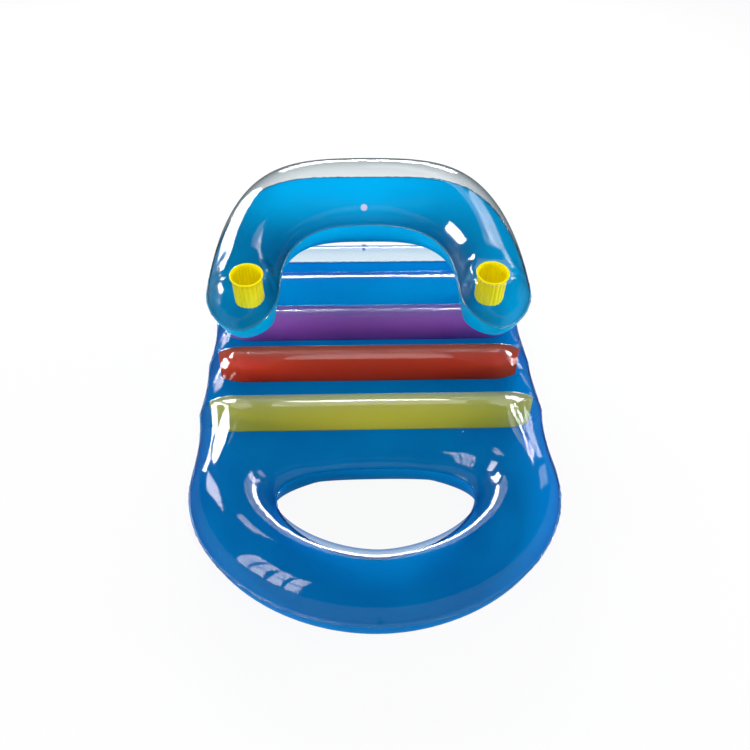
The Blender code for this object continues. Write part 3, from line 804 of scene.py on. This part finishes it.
def ripple_group():
    """Taut film: a slow swell all over, with fine gathers that fade away from the welded seam."""
    group, given, result = new_group(
        "taut film",
        [("Swell", "NodeSocketFloat", 0.0003), ("Gathers", "NodeSocketFloat", 0.0006)],
        [("Normal", "NodeSocketVector")])
    nodes, links = group.nodes, group.links
    gather_pitch, gather_reach = 0.0125, 0.045
    coordinates = nodes.new("ShaderNodeTexCoord")
    noise = add_node(nodes, "ShaderNodeTexNoise", Scale=11.0, Detail=2.5, Distortion=0.6)
    links.new(coordinates.outputs["Object"], noise.inputs["Vector"])
    swell = math_node(nodes, links, "MULTIPLY", noise.outputs["Fac"], given.outputs["Swell"])
    near = add_node(nodes, "ShaderNodeMapRange", From_Max=gather_reach, To_Min=1.0, To_Max=0.0)
    links.new(attribute(nodes, "seam_distance"), near.inputs["Value"])
    fade = math_node(nodes, links, "POWER", near.outputs[0], 2.5)
    drift = math_node(nodes, links, "MULTIPLY", noise.outputs["Fac"], 14.0)
    turn = math_node(nodes, links, "MULTIPLY_ADD", attribute(nodes, "seam_run"),
                     2 * math.pi / gather_pitch, drift)
    wave = math_node(nodes, links, "SINE", turn)
    gather = math_node(nodes, links, "MULTIPLY", math_node(nodes, links, "MULTIPLY", wave, fade),
                       given.outputs["Gathers"])
    bump = add_node(nodes, "ShaderNodeBump", Strength=1.0, Distance=1.0)
    links.new(math_node(nodes, links, "ADD", swell, gather), bump.inputs["Height"])
    links.new(bump.outputs[0], result.inputs["Normal"])
    return group


def vinyl_group():
    """Calendered vinyl: its colour drifts between two shades, over a faint orange peel."""
    group, given, result = new_group(
        "calendered vinyl",
        [("Colour", "NodeSocketColor", None), ("Shade", "NodeSocketColor", None),
         ("Patches", "NodeSocketFloat", 6.0), ("Peel", "NodeSocketFloat", 0.0002)],
        [("Colour", "NodeSocketColor"), ("Normal", "NodeSocketVector")])
    nodes, links = group.nodes, group.links
    coordinates = nodes.new("ShaderNodeTexCoord")
    drift = add_node(nodes, "ShaderNodeTexNoise", Detail=4.0)
    peel = add_node(nodes, "ShaderNodeTexNoise", Scale=70.0, Detail=3.0)
    for noise in (drift, peel):
        links.new(coordinates.outputs["Object"], noise.inputs["Vector"])
    links.new(given.outputs["Patches"], drift.inputs["Scale"])
    links.new(colour_mix(nodes, links, drift.outputs["Fac"], given.outputs["Shade"],
                         given.outputs["Colour"]), result.inputs["Colour"])
    bump = add_node(nodes, "ShaderNodeBump", Strength=1.0, Distance=1.0)
    links.new(math_node(nodes, links, "MULTIPLY", peel.outputs["Fac"], given.outputs["Peel"]),
              bump.inputs["Height"])
    links.new(bump.outputs[0], result.inputs["Normal"])
    return group


def film_material(name, face_on, edge_on):
    """Clear film under a mirror gloss: it lets less light through where the sight line grazes it.

    The welded margin, read from the seam distance, is a little milky.
    """
    material, nodes, links = new_material(name)
    out = nodes.new("ShaderNodeOutputMaterial")
    graze = add_node(nodes, "ShaderNodeLayerWeight", Blend=0.5)
    share = math_node(nodes, links, "POWER", graze.outputs["Facing"], 2.2)
    clear = nodes.new("ShaderNodeBsdfTransparent")
    links.new(colour_mix(nodes, links, share, face_on, edge_on), clear.inputs["Color"])
    milk = add_node(nodes, "ShaderNodeBsdfPrincipled", Base_Color=(0.62, 0.74, 0.86, 1),
                    Roughness=0.3)
    margin = add_node(nodes, "ShaderNodeMapRange", From_Max=0.006, To_Min=0.05, To_Max=0.001)
    links.new(attribute(nodes, "seam_distance"), margin.inputs["Value"])
    veil = shader_mix(nodes, links, margin.outputs[0], clear.outputs[0], milk.outputs[0])
    ripple = nodes.new("ShaderNodeGroup")
    ripple.node_tree = taut_film
    mirror = add_node(nodes, "ShaderNodeBsdfAnisotropic", Color=(1, 1, 1, 1), Roughness=0.035)
    fresnel = add_node(nodes, "ShaderNodeFresnel", IOR=VINYL_IOR)
    for node in (fresnel, mirror):
        links.new(ripple.outputs["Normal"], node.inputs["Normal"])
    gloss = math_node(nodes, links, "MINIMUM", fresnel.outputs[0], FILM_GLOSS)
    links.new(shader_mix(nodes, links, gloss, veil, mirror.outputs[0]), out.inputs[0])
    return material


def vinyl_material(name, colour, shade, glow=0.0, gloss=0.5, highlight_tint=None, roughness=0.3):
    """Coloured vinyl; its colours are written from 0 to 255.

    Glow is the share of the light that comes through the sheet from behind. A web turns to a painted
    highlight colour towards its upper weld and its ends, which paints them lighter.
    """
    material, nodes, links = new_material(name)
    out = nodes.new("ShaderNodeOutputMaterial")
    vinyl = add_node(nodes, "ShaderNodeBsdfPrincipled", Roughness=roughness, IOR=VINYL_IOR,
                     Specular_IOR_Level=gloss)
    skin = nodes.new("ShaderNodeGroup")
    skin.node_tree = calendered_vinyl
    skin.inputs["Colour"].default_value = (*srgb(*colour), 1)
    skin.inputs["Shade"].default_value = (*srgb(*shade), 1)
    tone = skin.outputs["Colour"]
    # Painted highlight: the web's colour turns lighter towards its upper weld and its ends
    if highlight_tint:
        tone = colour_mix(nodes, links, attribute(nodes, "painted_highlight"), tone, srgb(*highlight_tint))
    links.new(tone, vinyl.inputs["Base Color"])
    links.new(skin.outputs["Normal"], vinyl.inputs["Normal"])
    if not glow:
        links.new(vinyl.outputs[0], out.inputs[0])
        return material
    through = nodes.new("ShaderNodeBsdfTranslucent")
    links.new(tone, through.inputs["Color"])
    links.new(shader_mix(nodes, links, glow, vinyl.outputs[0], through.outputs[0]), out.inputs[0])
    return material


def paint(piece, material):
    """Gives a piece one material and no other."""
    piece.data.materials.clear()
    piece.data.materials.append(material)


def dress(piece, material, node):
    """Paints a piece of the chair's own body and lets it stand for a node of the frame."""
    paint(piece, material)
    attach(piece, "chair")
    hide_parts(node)
    return piece


# Places that the shapes above look up: the crest over a cup, and the top of the weld patches
_, _, crest_line, _ = backrest_outline()
crest_x = abs(crest_line[0][0])
_, patch_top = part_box("arm_patch_left")
patch_level = patch_top.z + WELD_GAP
patch_q = ((PATCH_SETBACK - ARM_TIP_SETBACK) * math.cos(BACKREST_TILT)
           - (ARM_TIP_HEIGHT - patch_level) * math.sin(BACKREST_TILT))

# The materials
taut_film = ripple_group()
calendered_vinyl = vinyl_group()
base_clear = film_material("base film", (0.925, 0.965, 0.985), (0.50, 0.62, 0.80))
backrest_clear = film_material("backrest film", (0.95, 0.965, 0.97), (0.42, 0.46, 0.48))
blue_vinyl = vinyl_material("blue vinyl", (0, 206, 240), (0, 196, 234), glow=0.55, gloss=0.12)
# The base's underside is the same blue vinyl painted darker: painted shade for the sheet that lies on
# the floor
painted_shade_vinyl = vinyl_material("painted shade blue vinyl", (0, 182, 224), (0, 162, 212), glow=0.8, gloss=0.06)
yellow_vinyl = vinyl_material("yellow vinyl", (255, 246, 0), (254, 236, 0), glow=0.3)
valve_vinyl = vinyl_material("valve vinyl", (205, 208, 232), (190, 194, 224), roughness=0.35)

# The pieces in their places
base_film = dress(base_sheet("base_film", 1), base_clear, "base_top_film")
dress(base_sheet("base_underside", -1), painted_shade_vinyl, "base_bottom_sheet")
webs = []
# Each web: tint, weld line, colour, shade, the painted highlight colour of its upper weld and ends,
# and glow
for tint, line, colour, shade, highlight_tint, glow in (
        ("yellow", YELLOW_LINE, (238, 224, 92), (228, 212, 76), (255, 242, 184), 0.65),
        ("red", RED_LINE, (255, 96, 62), (255, 80, 48), (255, 148, 100), 0.65),
        ("purple", PURPLE_LINE, (202, 126, 200), (192, 112, 192), (230, 200, 232), 0.65),
        ("blue", BLUE_LINE, (0, 210, 240), (0, 200, 234), (0, 196, 240), 0.55)):
    material = vinyl_material(f"{tint} film", colour, shade, glow=glow, gloss=0.06, highlight_tint=highlight_tint)
    webs.append(dress(baffle(f"web_{tint}", line), material, f"baffle_{tint}"))

backrest_film = backrest_sheet("backrest_film", 1)
for sign in (-1, 1):
    mouth = BACKREST_PLACE @ Matrix.Translation((sign * crest_x, CUP_SETBACK, CUP_MOUTH))
    punch(backrest_film, CUP_RADIUS + CUP_RIM + WELD_GAP, mouth)
smooth(backrest_film.data, SHEET_CRISP)
dress(backrest_film, backrest_clear, "backrest_top_film")
backrest_back = dress(backrest_sheet("backrest_underside", -1), blue_vinyl,
                      "backrest_bottom_sheet")
cup_parts = []
for side, sign in (("left", -1), ("right", 1)):
    sleeve, floor, rim = cup(side, sign)
    cup_parts += [sleeve, floor, rim]
    dress(sleeve, yellow_vinyl, f"cup_sleeve_{side}")
    dress(floor, yellow_vinyl, f"cup_floor_{side}")
    dress(rim, yellow_vinyl, f"cup_rim_{side}")

valve_parts = []
for name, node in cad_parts.items():
    if "valve" in name:
        valve_parts.append(node)
        paint(node, valve_vinyl)
    if "arm_patch" in name:
        paint(node, blue_vinyl)


# Floor, light and camera

def floor_plane():
    """Floor that is white where it is seen and grey where it only bounces light."""
    corners = [(FLOOR_REACH * x, FLOOR_REACH * y, -FLOOR_DROP)
               for x, y in ((-1, -1), (1, -1), (1, 1), (-1, 1))]
    mesh = make_mesh("floor", np.array(corners), [[0, 1, 2, 3]])
    floor = add_object("floor", mesh)
    material, nodes, links = new_material("floor")
    out = nodes.new("ShaderNodeOutputMaterial")
    matt = add_node(nodes, "ShaderNodeBsdfDiffuse", Color=(0.95, 0.95, 0.95, 1))
    grey = add_node(nodes, "ShaderNodeBsdfDiffuse", Color=(0.45, 0.45, 0.45, 1))
    glow = add_node(nodes, "ShaderNodeEmission", Strength=1.0)
    white = shader_mix(nodes, links, 0.93, matt.outputs[0], glow.outputs[0])
    paths = nodes.new("ShaderNodeLightPath").outputs
    seen = math_node(nodes, links, "MAXIMUM", paths["Is Camera Ray"], paths["Is Glossy Ray"])
    seen = math_node(nodes, links, "MAXIMUM", seen, paths["Is Transmission Ray"])
    links.new(shader_mix(nodes, links, seen, grey.outputs[0], white), out.inputs[0])
    mesh.materials.append(material)


def lamp(name, place, aim, size, energy):
    """Rectangular lamp at a place, aimed at a point of the chair; its size is in metres."""
    light = bpy.data.lights.new(name, "AREA")
    light.shape = "RECTANGLE"
    light.size, light.size_y = size
    light.energy = energy
    holder = add_object(name, light)
    holder.location = place
    holder.rotation_euler = (aim - place).to_track_quat("-Z", "Y").to_euler()
    holder.visible_camera = False
    return holder


def fill(name, place, size, level):
    """Soft lamp without a highlight; a white card that faces it has this level, 1 is full white."""
    place, aim = Vector(place), Vector((0, 0, 0.2))
    holder = lamp(name, place, aim, size, level * (math.pi * (aim - place).length) ** 2)
    holder.visible_glossy = False
    return holder


def shine(name, piece, azimuths, elevations, level, columns=1, rows=1, bar=0.0):
    """Far window that only shows as a highlight of this level on one film, in panes with dark bars.

    Its ranges of azimuth (0 is +X, 90 is +Y) and elevation are in degrees, as is a bar's width.
    Only the bottom of one cup shades it, because an empty collection would mean every piece.
    """
    aim, far = Vector((0, 0, 0.25)), LAMP_DISTANCE
    across = np.linspace(*azimuths, columns + 1)
    upward = np.linspace(*elevations, rows + 1)
    for left, right in zip(across, across[1:]):
        for low, high in zip(upward, upward[1:]):
            turn, climb = math.radians((left + right) / 2), math.radians((low + high) / 2)
            way = Vector((math.cos(climb) * math.cos(turn), math.cos(climb) * math.sin(turn),
                          math.sin(climb)))
            width = 2 * far * math.cos(climb) * math.tan(math.radians(right - left - bar) / 2)
            height = 2 * far * math.tan(math.radians(high - low - bar) / 2)
            energy = level / FILM_GLOSS * math.pi * width * height
            holder = lamp(name, aim + way * far, aim, (width, height), energy)
            holder.visible_diffuse = False
            holder.light_linking.receiver_collection = lit_by[piece.name]
            holder.light_linking.blocker_collection = cup_bottom


def only(name, *things):
    """Collection of a few objects, for the lamps that light nothing else."""
    group = bpy.data.collections.new(name)
    for thing in things:
        group.objects.link(thing)
    return group


floor_plane()
cup_bottom = only("cup bottom", cup_parts[1])
lit_by = {piece.name: only(piece.name + " lit", piece) for piece in (base_film, backrest_film)}
world = bpy.data.worlds.new("studio")
bpy.context.scene.world = world
world.use_nodes = True
world.node_tree.nodes["Background"].inputs["Color"].default_value = (0.95, 0.98, 1, 1)
world.node_tree.nodes["Background"].inputs["Strength"].default_value = 0.2
world.cycles_visibility.glossy = False

# Soft light on everything, then on the front webs, the arms and the cups alone
fill("overhead fill", (0, -0.8, 4.2), (3.0, 3.0), 0.06)
fill("front fill", (0, -4.2, 2.0), (3.4, 1.4), 0.18)
fill("rear fill", (-0.6, 4.2, 2.3), (3.6, 1.4), 1.22)
fill("right fill", (3.6, -0.6, 0.6), (1.4, 0.8), 0.9)
fill("left fill", (-3.2, -2.2, 0.6), (1.4, 0.8), 0.5)
for name, place, size, level, pieces in (
        ("web fill", (0, -4.0, 2.2), (3.4, 1.4), 0.52, webs[:3]),
        ("arm fill", (-1.2, -3.6, 2.0), (3.0, 1.4), 0.34, [backrest_back]),
        ("cup fill", (0, -1.0, 3.0), (2.0, 1.0), 0.58, cup_parts + valve_parts)):
    fill(name, place, size, level).light_linking.receiver_collection = only(name, *pieces)

# Windows, as they show on the two films
shine("crest strip", backrest_film, (70, 106), (8, 26), 0.7, columns=2)
shine("left window", backrest_film, (117, 133), (-2, 32), 0.8)
shine("left low window", backrest_film, (124, 150), (-28, -2), 0.7)
shine("left rear window", backrest_film, (150, 178), (-6, 24), 0.9)
shine("skylight", backrest_film, (44, 62), (32, 54), 0.14)
shine("wide skylight", backrest_film, (50, 88), (46, 62), 0.04)
shine("crease strip", base_film, (58, 116), (8, 19), 0.85, columns=3)
shine("crease glow", base_film, (58, 116), (19, 34), 0.06, columns=3)
shine("left window", base_film, (120, 130), (4, 28), 0.9)
shine("left low window", base_film, (131, 141), (3, 14), 0.7)
shine("left rear window", base_film, (138, 153), (18, 42), 0.25)
shine("right window", base_film, (49, 57), (17, 34), 0.5, columns=2, rows=2, bar=1.4)
shine("right low window", base_film, (44, 54), (2, 16), 0.2)
shine("right panel", base_film, (28, 40), (6, 26), 0.07)
shine("front window", base_film, (-164, -126), (0, 42), 0.15, columns=4, rows=2, bar=2.6)
shine("skylight", base_film, (114, 138), (54, 60), 0.1)

# The camera solved from the photograph: focal length in pixels, place, and turns about Z, X and Z
FOCAL_PIXELS, PICTURE_PIXELS, SENSOR = 785.8, 750, 36
EYE = (-0.0697, FRONT_SEAM - 0.974, 1.6612)
HEADING, PITCH, ROLL = -2.61, 90 - 40.28, 0.93
camera = add_object("camera", bpy.data.cameras.new("camera"))
camera.data.lens = FOCAL_PIXELS * SENSOR / PICTURE_PIXELS
camera.matrix_world = (Matrix.Translation(EYE)
                       @ Matrix.Rotation(math.radians(HEADING), 4, "Z")
                       @ Matrix.Rotation(math.radians(PITCH), 4, "X")
                       @ Matrix.Rotation(math.radians(ROLL), 4, "Z"))
bpy.context.scene.camera = camera
bpy.context.scene.view_settings.view_transform = "Standard"
